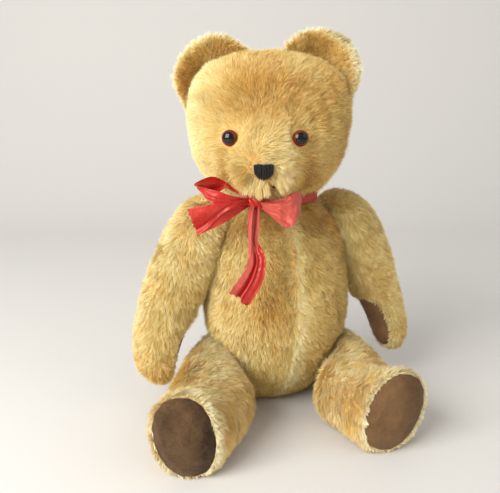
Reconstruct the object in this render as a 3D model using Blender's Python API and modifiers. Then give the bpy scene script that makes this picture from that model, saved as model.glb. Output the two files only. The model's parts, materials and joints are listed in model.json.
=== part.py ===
"""A seated, disc-jointed plush bear with a ribbon bow. Metres, +Z up, the bear's torso faces -Y.
The covers are the woven backing without its pile. Every limb and the head hang on a pair of
hardboard discs, with a steel washer behind each disc and one cotter pin through all of them."""

import math

import bmesh
import bpy
from mathutils import Matrix, Vector
from mathutils.bvhtree import BVHTree

# Cloth, and the clearances between pieces
WALL = 0.0025
SKIN_GAP = 0.0005
JOINT_GAP = 0.0003
SEAM_GAP = 0.0003

# Joint hardware
DISC_THICK = 0.0025
DISC_HOLE = 0.0030
WASHER_RADIUS = 0.0090
WASHER_THICK = 0.0008
PIN_WIRE = 0.0009
PIN_SPREAD = 0.0012
PIN_HOLE = 0.0028
PIN_EYE = 0.0030
PIN_CURL = 0.0040

# Shoulders: the joint's centre, the tilt of its axis, and its discs
SHOULDER_X = 0.061
SHOULDER_Y = 0.003
SHOULDER_Z = 0.204
SHOULDER_TILT = math.radians(22)
SHOULDER_DISC = 0.017

# Hips: the joint's centre, each leg's splay, and its discs
HIP_X = 0.048
HIP_Z = 0.044
LEFT_SPLAY = math.radians(6)
RIGHT_SPLAY = math.radians(16)
HIP_DISC = 0.021
HIP_ROUND = 0.0385
HIP_BACK = 0.0458
LEG_FLAT_END = 0.066

# Neck
NECK_X = -0.008
NECK_Z = 0.2387
NECK_DISC = 0.026
HEAD_YAW = math.radians(-20)

# Face
EYE_RADIUS = 0.0080
EYE_X = 0.0342
EYE_Z = 0.307
STEM_RADIUS = 0.0018
NOSE_Z = 0.2765
NOSE_WIDE = 0.0192
NOSE_TALL = 0.0162
NOSE_THICK = 0.0030
MOUTH_X = 0.0078
MOUTH_Z = 0.2588
MOUTH_LONG = 0.0046
MOUTH_WIDE = 0.0014

# Ribbon
RIBBON_THICK = 0.0014

# Torso outline: height, half-width, front, back, sideways shift
TORSO = [
    (-0.004, 0.034, 0.010, 0.028, 0.0),
    (0.012, 0.050, 0.026, 0.048, 0.0),
    (0.035, 0.064, 0.046, 0.062, 0.0),
    (0.063, 0.072, 0.066, 0.069, 0.0),
    (0.095, 0.080, 0.080, 0.071, 0.001),
    (0.128, 0.081, 0.081, 0.069, 0.001),
    (0.160, 0.078, 0.075, 0.065, 0.0),
    (0.188, 0.077, 0.065, 0.060, -0.001),
    (0.210, 0.072, 0.056, 0.055, -0.002),
    (0.228, 0.054, 0.046, 0.047, -0.005),
    (0.244, 0.040, 0.039, 0.041, -0.008),
]

# Head outline in its own facing: height, half-width, front, back
HEAD = [
    (0.232, 0.034, 0.034, 0.036),
    (0.246, 0.049, 0.045, 0.051),
    (0.258, 0.061, 0.058, 0.062),
    (0.275, 0.074, 0.068, 0.073),
    (0.296, 0.081, 0.072, 0.080),
    (0.320, 0.084, 0.074, 0.083),
    (0.342, 0.085, 0.073, 0.082),
    (0.363, 0.079, 0.065, 0.075),
    (0.380, 0.061, 0.047, 0.058),
    (0.388, 0.032, 0.025, 0.031),
]
# How far the muzzle stands out of each of those levels
MUZZLE = (0.0, 0.0, 0.020, 0.047, 0.044, 0.012, 0.0, 0.0, 0.0, 0.0)
MUZZLE_SPREAD = {0: 1.0, 1: 0.62, 2: 0.10}
HEAD_TOP = 0.391

# Ears: sideways place, height, lean, and half-width of each
LEFT_EAR = (0.047, 0.363, math.radians(31), 0.040)
RIGHT_EAR = (-0.051, 0.358, math.radians(38), 0.041)

# Limb outlines: distance from the joint, nearest and furthest from the joint's face,
# then back and front for an arm, or underside and top for a leg
LEFT_ARM = [
    (-0.025, 0.004, 0.030, -0.016, 0.016),
    (-0.017, -0.006, 0.043, -0.028, 0.028),
    (0.000, -0.008, 0.055, -0.035, 0.035),
    (0.032, -0.007, 0.061, -0.033, 0.033),
    (0.066, -0.001, 0.060, -0.030, 0.030),
    (0.100, 0.008, 0.057, -0.026, 0.028),
    (0.130, 0.012, 0.054, -0.023, 0.027),
    (0.157, 0.012, 0.051, -0.021, 0.026),
    (0.177, 0.012, 0.045, -0.017, 0.022),
]
RIGHT_ARM = [
    (-0.025, 0.004, 0.030, -0.016, 0.016),
    (-0.017, -0.006, 0.043, -0.028, 0.028),
    (0.000, -0.008, 0.050, -0.035, 0.035),
    (0.032, -0.008, 0.056, -0.034, 0.034),
    (0.066, -0.006, 0.058, -0.031, 0.032),
    (0.102, -0.003, 0.056, -0.028, 0.030),
    (0.132, -0.002, 0.051, -0.026, 0.030),
    (0.158, -0.005, 0.044, -0.024, 0.030),
    (0.178, -0.008, 0.033, -0.019, 0.027),
]
LEFT_LEG = [
    (-0.034, 0.004, 0.030, 0.026, 0.058),
    (-0.022, -0.006, 0.038, 0.010, 0.074),
    (0.000, -0.008, 0.042, -0.002, 0.079),
    (0.030, -0.008, 0.048, -0.004, 0.079),
    (0.058, -0.008, 0.051, -0.004, 0.078),
    (0.084, -0.045, 0.052, -0.004, 0.073),
    (0.115, -0.035, 0.053, -0.004, 0.068),
    (0.142, -0.028, 0.048, -0.004, 0.076),
    (0.164, -0.026, 0.044, -0.003, 0.092),
]
RIGHT_LEG = [
    (-0.034, 0.004, 0.030, 0.026, 0.058),
    (-0.022, -0.006, 0.040, 0.010, 0.074),
    (0.000, -0.008, 0.046, -0.002, 0.079),
    (0.030, -0.008, 0.054, -0.004, 0.079),
    (0.058, -0.008, 0.061, -0.004, 0.078),
    (0.084, -0.026, 0.066, -0.004, 0.074),
    (0.118, -0.010, 0.070, -0.004, 0.068),
    (0.146, 0.002, 0.073, -0.004, 0.076),
    (0.170, 0.010, 0.074, -0.003, 0.092),
]
LEG_END = 0.015
LEFT_FOOT_LEAN = math.radians(24)
PAW_PAD_AT = 0.140
PAW_PAD_LONG = 0.074
PAW_PAD_WIDE = 0.042
PAW_PAD_DEEP = 0.008
LEFT_PAW_TURN = math.radians(12)
RIGHT_FOOT_LEAN = math.radians(12)
ARM_END = 0.013

COLOURS = {
    "plush": ((0.66, 0.46, 0.20), 0.9, 0.0),
    "pad": ((0.16, 0.09, 0.055), 0.9, 0.0),
    "ribbon": ((0.80, 0.13, 0.07), 0.35, 0.0),
    "thread": ((0.02, 0.017, 0.015), 0.6, 0.0),
    "eye": ((0.07, 0.03, 0.012), 0.12, 0.0),
    "board": ((0.33, 0.22, 0.13), 0.8, 0.0),
    "steel": ((0.62, 0.62, 0.60), 0.35, 1.0),
    "wool": ((0.72, 0.66, 0.54), 1.0, 0.0),
}

for leftover in list(bpy.data.objects):
    bpy.data.objects.remove(leftover)

bear = bpy.data.collections.new("plush_bear")
bpy.context.scene.collection.children.link(bear)


def new_object(name, mesh):
    obj = bpy.data.objects.new(name, mesh)
    bear.objects.link(obj)
    return obj


def settle(obj):
    """Applies the object's modifiers."""
    graph = bpy.context.evaluated_depsgraph_get()
    mesh = bpy.data.meshes.new_from_object(obj.evaluated_get(graph))
    obj.modifiers.clear()
    obj.data = mesh
    return obj


def boolean(obj, other, operation="DIFFERENCE"):
    """Cuts, joins or keeps the common part, and removes the other object."""
    step = obj.modifiers.new(operation.lower(), "BOOLEAN")
    step.operation = operation
    step.solver = "EXACT"
    step.object = other
    settle(obj)
    bpy.data.objects.remove(other)
    return obj


def copy_of(obj, name="copy"):
    return new_object(name, obj.data.copy())


def finish(obj, name, colour, smooth=True):
    """Names a piece, gives it its material and merges the points that its cuts left doubled."""
    work = bmesh.new()
    work.from_mesh(obj.data)
    bmesh.ops.remove_doubles(work, verts=work.verts, dist=0.00001)
    bmesh.ops.dissolve_degenerate(work, edges=work.edges, dist=0.00001)
    work.to_mesh(obj.data)
    work.free()
    obj.name = name
    obj.data.name = name
    rgb, roughness, metallic = COLOURS[colour]
    material = bpy.data.materials.new(name)
    material.use_nodes = True
    shader = material.node_tree.nodes["Principled BSDF"]
    shader.inputs["Base Color"].default_value = (*rgb, 1.0)
    shader.inputs["Roughness"].default_value = roughness
    shader.inputs["Metallic"].default_value = metallic
    obj.data.materials.clear()
    obj.data.materials.append(material)
    if smooth:
        obj.data.shade_smooth()
    return obj


def cage_mesh(rings, ends):
    """A closed cage of point rings, with one point beyond each end."""
    around = len(rings[0])
    points = [point for ring in rings for point in ring] + list(ends)
    first, last = len(points) - 2, len(points) - 1
    faces = []
    for level in range(len(rings) - 1):
        for k in range(around):
            after = (k + 1) % around
            low, high = level * around, (level + 1) * around
            faces.append((low + k, low + after, high + after, high + k))
    top = (len(rings) - 1) * around
    for k in range(around):
        after = (k + 1) % around
        faces.append((first, after, k))
        faces.append((last, top + k, top + after))
    mesh = bpy.data.meshes.new("cage")
    mesh.from_pydata([tuple(point) for point in points], [], faces)
    work = bmesh.new()
    work.from_mesh(mesh)
    bmesh.ops.recalc_face_normals(work, faces=work.faces)
    work.to_mesh(mesh)
    work.free()
    return mesh


def soft_form(mesh, inset=0.0, fine=True):
    """The smooth form of a cage, moved inwards by the inset. A coarse one keeps the cage's own faces."""
    obj = new_object("form", mesh.copy())
    smooth = obj.modifiers.new("smooth", "SUBSURF")
    smooth.levels = 1
    smooth.render_levels = 1
    graph = bpy.context.evaluated_depsgraph_get()
    round_mesh = bpy.data.meshes.new_from_object(obj.evaluated_get(graph))
    places = [v.co - v.normal * inset for v in round_mesh.vertices]
    obj.modifiers.clear()
    if fine:
        obj.data = round_mesh
    for vertex, place in zip(obj.data.vertices, places):
        vertex.co = place
    if not fine:
        work = bmesh.new()
        work.from_mesh(obj.data)
        bmesh.ops.triangulate(work, faces=work.faces, quad_method="FIXED")
        work.to_mesh(obj.data)
        work.free()
    return obj


def fullness(around):
    """How much further out a ring's cage points lie than the smooth form that they make."""
    return 3.0 / (2.0 + math.cos(2 * math.pi / around))


def limb_mesh(rows, end_out, place, roll=0.0, around=8, square=1.06):
    """A limb's cage, from rows of distance, nearest, furthest, low and high."""
    full = fullness(around)
    rings = []
    for row in rows:
        reach, near, far, low, high = row
        middle_w, half_w = (near + far) / 2, (far - near) / 2 * full
        middle_t, half_t = (low + high) / 2, (high - low) / 2 * full
        start = rows[len(rows) // 2][0]
        turn = roll * max(0.0, (reach - start) / (rows[-1][0] - start))
        ring = []
        for k in range(around):
            angle = 2 * math.pi * k / around
            corner = square if k % (around // 4) else 1.0
            w = math.cos(angle) * half_w * corner
            t = math.sin(angle) * half_t * corner
            w, t = (
                w * math.cos(turn) + t * math.sin(turn),
                t * math.cos(turn) - w * math.sin(turn),
            )
            ring.append(place(reach, middle_w + w, middle_t + t))
        rings.append(ring)
    first, last = rows[0], rows[-1]
    ends = (
        place(first[0] - 0.004, (first[1] + first[2]) / 2, (first[3] + first[4]) / 2),
        place(end_out, (last[1] + last[2]) / 2, (last[3] + last[4]) / 2),
    )
    return cage_mesh(rings, ends)


def stack_mesh(rows, around, ends, push=None):
    """A cage of level rings about the upright axis."""
    full = fullness(around)
    rings = []
    for level, row in enumerate(rows):
        height, wide, front, back = row[:4]
        shift = row[4] if len(row) > 4 else 0.0
        ring = []
        for k in range(around):
            angle = 2 * math.pi * k / around - math.pi / 2
            deep = front if math.sin(angle) < 0 else back
            point = Vector((shift + math.cos(angle) * wide * full, math.sin(angle) * deep * full, height))
            if push:
                near = min(k, around - k)
                point.y -= push[level] * MUZZLE_SPREAD.get(near, 0.0)
            ring.append(point)
        rings.append(ring)
    return cage_mesh(rings, ends)


def rod(radius, start, end, place, steps=24):
    """A cylinder along the frame's Z, from start to end."""
    work = bmesh.new()
    bmesh.ops.create_cone(
        work,
        cap_ends=True,
        segments=steps,
        radius1=radius,
        radius2=radius,
        depth=end - start,
        matrix=place @ Matrix.Translation((0, 0, (start + end) / 2)),
    )
    bmesh.ops.recalc_face_normals(work, faces=work.faces)
    mesh = bpy.data.meshes.new("rod")
    work.to_mesh(mesh)
    work.free()
    return new_object("rod", mesh)


def plate(name, colour, radius, start, thick, place, hole, steps):
    """A flat disc with a centre hole."""
    obj = rod(radius, start, start + thick, place, steps)
    boolean(obj, rod(hole, start - 0.005, start + thick + 0.005, place, 12))
    return finish(obj, name, colour, smooth=False)


def wire(name, colour, points, radius, sides=6):
    """A round wire through these points, with closed ends."""
    curve = bpy.data.curves.new("wire", "CURVE")
    curve.dimensions = "3D"
    curve.bevel_depth = radius
    curve.bevel_resolution = (sides - 4) // 2
    curve.use_fill_caps = True
    line = curve.splines.new("POLY")
    line.points.add(len(points) - 1)
    for spot, point in zip(line.points, points):
        spot.co = (*point, 1.0)
    guide = new_object("guide", curve)
    graph = bpy.context.evaluated_depsgraph_get()
    mesh = bpy.data.meshes.new_from_object(guide.evaluated_get(graph))
    bpy.data.objects.remove(guide)
    work = bmesh.new()
    work.from_mesh(mesh)
    bmesh.ops.remove_doubles(work, verts=work.verts, dist=0.00001)
    bmesh.ops.recalc_face_normals(work, faces=work.faces)
    work.to_mesh(mesh)
    work.free()
    return finish(new_object(name, mesh), name, colour)


def prism(near, far):
    """A closed prism between two outlines with the same number of corners."""
    count = len(near)
    faces = [tuple(range(count)), tuple(range(2 * count - 1, count - 1, -1))]
    faces += [(k, k + count, (k + 1) % count + count, (k + 1) % count) for k in range(count)]
    mesh = bpy.data.meshes.new("prism")
    mesh.from_pydata([tuple(point) for point in list(near) + list(far)], [], faces)
    work = bmesh.new()
    work.from_mesh(mesh)
    bmesh.ops.recalc_face_normals(work, faces=work.faces)
    work.to_mesh(mesh)
    work.free()
    return new_object("prism", mesh)


def frame_on(centre, axis, up=Vector((0, 0, 1))):
    """A frame at a joint, with Z along the joint's axis, away from the torso."""
    z = axis.normalized()
    x = (up - z * up.dot(z)).normalized()
    y = z.cross(x)
    rows = Matrix((x, y, z)).transposed().to_4x4()
    return Matrix.Translation(centre) @ rows


def hardware(joint, place, radius, names):
    """Both discs, both washers and the pin of a joint, and the room that they need on each side."""
    inside = JOINT_GAP + WALL + SEAM_GAP
    disc_end = inside + DISC_THICK
    washer = disc_end + SEAM_GAP
    washer_end = washer + WASHER_THICK
    plate(f"{joint}_{names}_disc", "board", radius, inside, DISC_THICK, place, DISC_HOLE, 20)
    plate(f"{joint}_{names}_washer", "steel", WASHER_RADIUS, washer, WASHER_THICK, place, PIN_HOLE, 12)
    plate(
        f"{joint}_torso_disc", "board", radius, -disc_end, DISC_THICK, place, DISC_HOLE, 20
    )
    plate(
        f"{joint}_torso_washer",
        "steel",
        WASHER_RADIUS,
        -washer_end,
        WASHER_THICK,
        place,
        PIN_HOLE,
        12,
    )
    eye_start = washer_end + SEAM_GAP + PIN_WIRE
    curl_start = -(washer_end + SEAM_GAP + PIN_WIRE)
    path = []
    turns = 4
    for k in range(turns, -1, -1):
        angle = math.pi * 1.25 * k / turns
        path.append(
            (
                PIN_SPREAD + PIN_CURL - PIN_CURL * math.cos(angle),
                curl_start - PIN_CURL * math.sin(angle) - PIN_CURL * 0.8,
            )
        )
    path.append((PIN_SPREAD, curl_start))
    path.append((PIN_SPREAD, eye_start))
    for k in range(1, 6):
        angle = math.pi * k / 6
        path.append(
            (
                PIN_SPREAD * math.cos(angle) + PIN_EYE * math.sin(angle) * math.cos(angle),
                eye_start + PIN_EYE * 2 * math.sin(angle),
            )
        )
    path.append((-PIN_SPREAD, eye_start))
    path += [(-x, z) for x, z in reversed(path[: turns + 2])]
    points = [place @ Vector((x, 0.0, z)) for x, z in path]
    wire(f"{joint}_cotter_pin", "steel", points, PIN_WIRE)
    pocket_end = eye_start + 2 * PIN_EYE + PIN_WIRE + 0.0015
    outer = [
        (radius + 0.0006, JOINT_GAP, disc_end + SEAM_GAP),
        (WASHER_RADIUS + 0.0006, JOINT_GAP, washer_end + SEAM_GAP),
        (PIN_EYE + PIN_WIRE + 0.0012, JOINT_GAP, pocket_end),
    ]
    curl_room = 2 * PIN_CURL + PIN_SPREAD + PIN_WIRE + 0.0012
    curl_end = curl_start - PIN_CURL * 1.8 - PIN_WIRE - 0.0015
    inner = [
        (radius + 0.0006, -disc_end - SEAM_GAP, -JOINT_GAP),
        (WASHER_RADIUS + 0.0006, -washer_end - SEAM_GAP, -JOINT_GAP),
        (curl_room, curl_end, -JOINT_GAP),
    ]
    return outer, inner


def pockets(obj, rooms, place):
    """Cuts a joint's hardware room out of a stuffing."""
    for radius, start, end in rooms:
        boolean(obj, rod(radius, start, end, place, 16))
    return obj


def trim(obj, point, away):
    """Removes everything beyond a plane, on the side that this direction points to, and closes it."""
    work = bmesh.new()
    work.from_mesh(obj.data)
    found = bmesh.ops.bisect_plane(
        work,
        geom=work.verts[:] + work.edges[:] + work.faces[:],
        plane_co=point,
        plane_no=away,
        clear_outer=True,
    )
    rim = [item for item in found["geom_cut"] if isinstance(item, bmesh.types.BMEdge)]
    bmesh.ops.contextual_create(work, geom=rim)
    bmesh.ops.recalc_face_normals(work, faces=work.faces)
    work.to_mesh(obj.data)
    work.free()
    return obj


def trim_behind(obj, place, offset):
    """Keeps what lies further out along a frame's Z than the offset."""
    return trim(obj, place @ Vector((0, 0, offset)), place.to_3x3() @ Vector((0, 0, -1)))


def trim_ahead(obj, place, offset):
    """Keeps what lies nearer along a frame's Z than the offset."""
    return trim(obj, place @ Vector((0, 0, offset)), place.to_3x3() @ Vector((0, 0, 1)))


def trim_floor(obj, height):
    return trim(obj, Vector((0, 0, height)), Vector((0, 0, -1)))


# Joint frames, in the order that the pieces use them
left_shoulder = frame_on(
    Vector((SHOULDER_X, SHOULDER_Y, SHOULDER_Z)),
    Vector((math.cos(SHOULDER_TILT), 0, math.sin(SHOULDER_TILT))),
)
right_shoulder = frame_on(
    Vector((-SHOULDER_X, SHOULDER_Y, SHOULDER_Z)),
    Vector((-math.cos(SHOULDER_TILT), 0, math.sin(SHOULDER_TILT))),
)
left_hip = frame_on(
    Vector((HIP_X, 0, HIP_Z)), Vector((math.cos(LEFT_SPLAY), math.sin(LEFT_SPLAY), 0))
)
right_hip = frame_on(
    Vector((-HIP_X, 0, HIP_Z)), Vector((-math.cos(RIGHT_SPLAY), math.sin(RIGHT_SPLAY), 0))
)
neck = frame_on(Vector((NECK_X, 0, NECK_Z)), Vector((0, 0, 1)), Vector((0, 1, 0)))
facing = Matrix.Translation((NECK_X, 0, 0)) @ Matrix.Rotation(HEAD_YAW, 4, "Z")


def arm_place(side):
    """Maps an arm's distance, depth and forward measures to the bear."""
    out = Vector((side * math.cos(SHOULDER_TILT), 0, math.sin(SHOULDER_TILT)))
    down = Vector((side * math.sin(SHOULDER_TILT), 0, -math.cos(SHOULDER_TILT)))
    centre = Vector((side * SHOULDER_X, SHOULDER_Y, SHOULDER_Z))
    return lambda s, w, t: centre + down * s + out * w + Vector((0, -t, 0))


def leg_place(side, splay):
    """Maps a leg's distance, depth and height to the bear."""
    out = Vector((side * math.cos(splay), math.sin(splay), 0))
    ahead = Vector((side * math.sin(splay), -math.cos(splay), 0))
    centre = Vector((side * HIP_X, 0, 0))
    return lambda s, w, t: centre + ahead * s + out * w + Vector((0, 0, t))


outer_rooms = {}
inner_rooms = {}
for joint, place, radius, owner in (
    ("neck", neck, NECK_DISC, "head"),
    ("left_shoulder", left_shoulder, SHOULDER_DISC, "arm"),
    ("right_shoulder", right_shoulder, SHOULDER_DISC, "arm"),
    ("left_hip", left_hip, HIP_DISC, "leg"),
    ("right_hip", right_hip, HIP_DISC, "leg"),
):
    outer_rooms[joint], inner_rooms[joint] = hardware(joint, place, radius, owner)


def hip_recess(side, splay, inset):
    """The room that a thigh takes out of the torso's lower side, now and as it swings down."""
    place = leg_place(side, splay)
    face = -JOINT_GAP - inset
    r = HIP_ROUND + inset
    outline = []
    for k in range(9):
        angle = math.pi * k / 16
        reach = r + (HIP_BACK - HIP_ROUND) * math.cos(angle) ** 2
        outline.append((-reach * math.cos(angle), HIP_Z + reach * math.sin(angle)))
    outline += [(0.13, HIP_Z + r), (0.13, -0.05), (-HIP_BACK - inset, -0.05)]
    return prism([place(s, face, t) for s, t in outline], [place(s, 0.12, t) for s, t in outline])


def torso_form(inset, fine):
    mesh = stack_mesh(TORSO, 12, ((0, 0, -0.006), (NECK_X, 0, 0.250)))
    obj = soft_form(mesh, inset, fine)
    trim_floor(obj, inset)
    for place in (neck, left_shoulder, right_shoulder):
        trim_ahead(obj, place, -JOINT_GAP - inset)
    boolean(obj, hip_recess(1, LEFT_SPLAY, inset))
    boolean(obj, hip_recess(-1, RIGHT_SPLAY, inset))
    return obj


joint_frames = {
    "neck": neck,
    "left_shoulder": left_shoulder,
    "right_shoulder": right_shoulder,
    "left_hip": left_hip,
    "right_hip": right_hip,
}

torso = torso_form(0.0, True)
boolean(torso, torso_form(WALL, False))
for joint, place in joint_frames.items():
    boolean(torso, rod(PIN_HOLE, -0.012, 0.002, place, 12))
finish(torso, "torso_cover", "plush")

torso_fill = torso_form(WALL + SKIN_GAP, False)
for joint, place in joint_frames.items():
    pockets(torso_fill, inner_rooms[joint], place)
finish(torso_fill, "torso_stuffing", "wool")

# Head, its eyes, nose, mouth and ears
head_cage = stack_mesh(HEAD, 16, ((0, 0, 0.229), (0, 0, HEAD_TOP)), MUZZLE)
head_cage.transform(facing)


def head_form(inset, fine):
    obj = soft_form(head_cage, inset, fine)
    return trim_behind(obj, neck, JOINT_GAP + inset)


head_skin = head_form(0.0, True)
skin_tree = BVHTree.FromPolygons(
    [v.co.copy() for v in head_skin.data.vertices],
    [tuple(p.vertices) for p in head_skin.data.polygons],
)
cavity_form = head_form(WALL, False)
cavity_tree = BVHTree.FromPolygons(
    [v.co.copy() for v in cavity_form.data.vertices],
    [tuple(p.vertices) for p in cavity_form.data.polygons],
)


def skin_height(place, radius, tree, steps=24):
    """The furthest and nearest that the surface lies along a frame's Z, within a radius of it."""
    found = []
    into = place.to_3x3() @ Vector((0, 0, -1))
    for ring in (0.0, 0.5, 1.0):
        for k in range(steps):
            angle = 2 * math.pi * k / steps
            start = place @ Vector(
                (math.cos(angle) * ring * radius, math.sin(angle) * ring * radius, 0.05)
            )
            hit = tree.ray_cast(start, into, 0.1)[0]
            if hit is not None:
                found.append(0.05 - (hit - start).length)
    return max(found), min(found)


eye_frames = {}
for side, word in ((1, "left"), (-1, "right")):
    look = (facing.to_3x3() @ Vector((side * 0.34, -0.94, 0.06))).normalized()
    start = facing @ Vector((side * EYE_X, -0.16, EYE_Z))
    hit = skin_tree.ray_cast(start, facing.to_3x3() @ Vector((0, 1, 0)), 0.3)[0]
    eye_frames[word] = frame_on(hit, look)

stuffing = head_form(WALL + SKIN_GAP, False)
cover = head_skin
boolean(cover, cavity_form)
boolean(cover, rod(PIN_HOLE, -0.002, 0.012, neck, 12))
pockets(stuffing, outer_rooms["neck"], neck)
for word, place in eye_frames.items():
    front, _ = skin_height(place, EYE_RADIUS, skin_tree)
    _, back = skin_height(place, WASHER_RADIUS, cavity_tree)
    seat = front + SEAM_GAP
    washer_top = back - SEAM_GAP
    ball = bpy.data.meshes.new("ball")
    work = bmesh.new()
    bmesh.ops.create_uvsphere(work, u_segments=16, v_segments=10, radius=EYE_RADIUS)
    bmesh.ops.transform(
        work, matrix=place @ Matrix.Translation((0, 0, seat)) @ Matrix.Diagonal((1, 1, 0.78, 1)), verts=work.verts
    )
    work.to_mesh(ball)
    work.free()
    eye = new_object("eye", ball)
    trim_behind(eye, place, seat)
    boolean(eye, rod(STEM_RADIUS, washer_top - 0.005, seat + 0.001, place, 10), "UNION")
    finish(eye, f"{word}_eye", "eye")
    plate(
        f"{word}_eye_washer",
        "steel",
        WASHER_RADIUS - 0.001,
        washer_top - WASHER_THICK,
        WASHER_THICK,
        place,
        STEM_RADIUS + SEAM_GAP,
        12,
    )
    boolean(cover, rod(STEM_RADIUS + SEAM_GAP, washer_top - 0.004, seat + 0.004, place, 10))
    boolean(stuffing, rod(WASHER_RADIUS, washer_top - WASHER_THICK - 0.0008, seat, place, 16))
    boolean(stuffing, rod(STEM_RADIUS + 0.0008, washer_top - 0.0065, seat, place, 10))
finish(cover, "head_cover", "plush")
finish(stuffing, "head_stuffing", "wool")


def stitched(name, outline, thick):
    """Flat stitching that follows the skin inside an outline seen from the front."""
    shape = prism(
        [facing @ Vector((x, -0.16, z)) for x, z in outline],
        [facing @ Vector((x, -0.06, z)) for x, z in outline],
    )
    boolean(shape, soft_form(head_cage, -thick - SEAM_GAP, True), "INTERSECT")
    boolean(shape, soft_form(head_cage, -SEAM_GAP, True))
    return finish(shape, name, "thread")


half = NOSE_WIDE / 2
top = NOSE_Z + NOSE_TALL / 2
low = NOSE_Z - NOSE_TALL / 2
stitched(
    "nose_stitches",
    [
        (-half, top - 0.0008),
        (-half * 0.98, top - 0.36 * NOSE_TALL),
        (-half * 0.84, top - 0.66 * NOSE_TALL),
        (-half * 0.48, low + 0.0014),
        (0.0, low),
        (half * 0.48, low + 0.0014),
        (half * 0.84, top - 0.66 * NOSE_TALL),
        (half * 0.98, top - 0.36 * NOSE_TALL),
        (half, top - 0.0008),
        (half * 0.5, top),
        (0.0, top - 0.0005),
        (-half * 0.5, top),
    ],
    NOSE_THICK,
)
# The one mouth stitch that is left, slanting down to the left of the chin
mouth_run = Vector((math.cos(math.radians(-40)), math.sin(math.radians(-40))))
mouth_side = Vector((-mouth_run.y, mouth_run.x))
mouth_corners = []
for along, across in ((-1, -1), (1, -1), (1, 1), (-1, 1)):
    corner = mouth_run * (along * MOUTH_LONG / 2) + mouth_side * (across * MOUTH_WIDE / 2)
    mouth_corners.append((MOUTH_X + corner.x, MOUTH_Z + corner.y))
stitched("mouth_stitch", mouth_corners, 0.0012)


def ear(side, shape, name):
    """A cupped half-round ear, sewn on along the head's upper corner."""
    full = fullness(12)
    sideways, height, lean, half_wide = shape
    up = Vector((side * math.sin(lean), 0.0, math.cos(lean)))
    across = Vector((math.cos(lean), 0.0, -side * math.sin(lean)))
    ahead = Vector((0.0, -1.0, 0.0))
    base = Vector((sideways, 0.004, height))
    rows = [
        (-0.012, half_wide * 0.88, 0.0050),
        (0.004, half_wide, 0.0060),
        (0.022, half_wide * 0.95, 0.0062),
        (0.038, half_wide * 0.74, 0.0055),
        (0.047, half_wide * 0.40, 0.0042),
    ]
    rings = []
    for up_by, wide, thick in rows:
        ring = []
        for k in range(12):
            angle = 2 * math.pi * k / 12
            u = math.cos(angle) * wide * full
            v = math.sin(angle) * thick * full
            cup = 0.016 * (u / half_wide) ** 2 + 0.10 * up_by
            ring.append(base + up * up_by + across * u + ahead * (v + cup))
        rings.append(ring)
    ends = (base - up * 0.014, base + up * 0.050 + ahead * 0.005)
    mesh = cage_mesh(rings, ends)
    mesh.transform(facing)
    obj = soft_form(mesh, 0.0, True)
    boolean(obj, soft_form(head_cage, -SEAM_GAP, True))
    return finish(obj, name, "plush")


ear(1, LEFT_EAR, "left_ear")
ear(-1, RIGHT_EAR, "right_ear")


def foot_prism(place, rows, roll, grow):
    """An upright oval on the sole, leaning with the foot."""
    last = rows[-1]
    middle_w = (last[1] + last[2]) / 2
    half_w = (last[2] - last[1]) / 2 - 0.0035 + grow
    middle_t = (last[3] + last[4]) / 2
    half_t = (last[4] - last[3]) / 2 - 0.0035 + grow
    oval = []
    for k in range(20):
        angle = 2 * math.pi * k / 20
        w = math.cos(angle) * half_w
        t = math.sin(angle) * half_t
        oval.append(
            (
                middle_w + w * math.cos(roll) + t * math.sin(roll),
                middle_t + t * math.cos(roll) - w * math.sin(roll),
            )
        )
    near, far = last[0] - 0.004 - grow, last[0] + 0.044
    return prism([place(near, w, t) for w, t in oval], [place(far, w, t) for w, t in oval])


def paw_prism(place, rows, turn, grow):
    """A long oval on the inner face of the paw, turned this far to the front."""
    row = min(rows, key=lambda r: abs(r[0] - PAW_PAD_AT))
    facing = Vector((-math.cos(turn), math.sin(turn)))
    aside = Vector((math.sin(turn), math.cos(turn)))
    middle = Vector(((row[1] + row[2]) / 2, (row[3] + row[4]) / 2))

    def corner(k, depth):
        angle = 2 * math.pi * k / 20
        long, wide = math.cos(angle), math.sin(angle)
        long = math.copysign(abs(long) ** 0.8, long) * (PAW_PAD_LONG / 2 + grow)
        wide = math.copysign(abs(wide) ** 0.8, wide) * (PAW_PAD_WIDE / 2 + grow)
        spot = middle + facing * depth + aside * wide
        return place(PAW_PAD_AT + long, spot.x, spot.y)

    return prism([corner(k, 0.055) for k in range(20)], [corner(k, PAW_PAD_DEEP - grow) for k in range(20)])


def behind_face(place, end, face):
    """Everything behind a leg's joint face, as far along the leg as that face goes."""
    corners = ((-0.08, -0.12), (end, -0.12), (end, face), (-0.08, face))
    return prism([place(s, w, -0.1) for s, w in corners], [place(s, w, 0.25) for s, w in corners])


def limb(word, kind, rows, end, place, joint, roll=0.0, floor=False, flat_end=0.4, turn=0.0):
    """A limb's cover, its stuffing and its pad."""
    mesh = limb_mesh(rows, end, place, roll)
    frame = joint_frames[joint]

    def form(inset, fine):
        obj = soft_form(mesh, inset, fine)
        if floor:
            trim_floor(obj, inset)
            boolean(obj, behind_face(place, flat_end + inset, JOINT_GAP + inset))
        else:
            trim_behind(obj, frame, JOINT_GAP + inset)
        return obj

    shell = form(0.0, True)
    boolean(shell, form(WALL, False))
    if floor:
        prism = lambda grow: foot_prism(place, rows, roll, grow)
        pad_name = f"{word}_foot_pad"
    else:
        prism = lambda grow: paw_prism(place, rows, turn, grow)
        pad_name = f"{word}_paw_pad"
    pad = copy_of(shell, "pad")
    boolean(pad, prism(0.0), "INTERSECT")
    finish(pad, pad_name, "pad")
    boolean(shell, prism(SEAM_GAP))
    boolean(shell, rod(PIN_HOLE, -0.002, 0.012, frame, 12))
    finish(shell, f"{word}_{kind}_cover", "plush")
    fill = form(WALL + SKIN_GAP, False)
    pockets(fill, outer_rooms[joint], frame)
    finish(fill, f"{word}_{kind}_stuffing", "wool")


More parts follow.
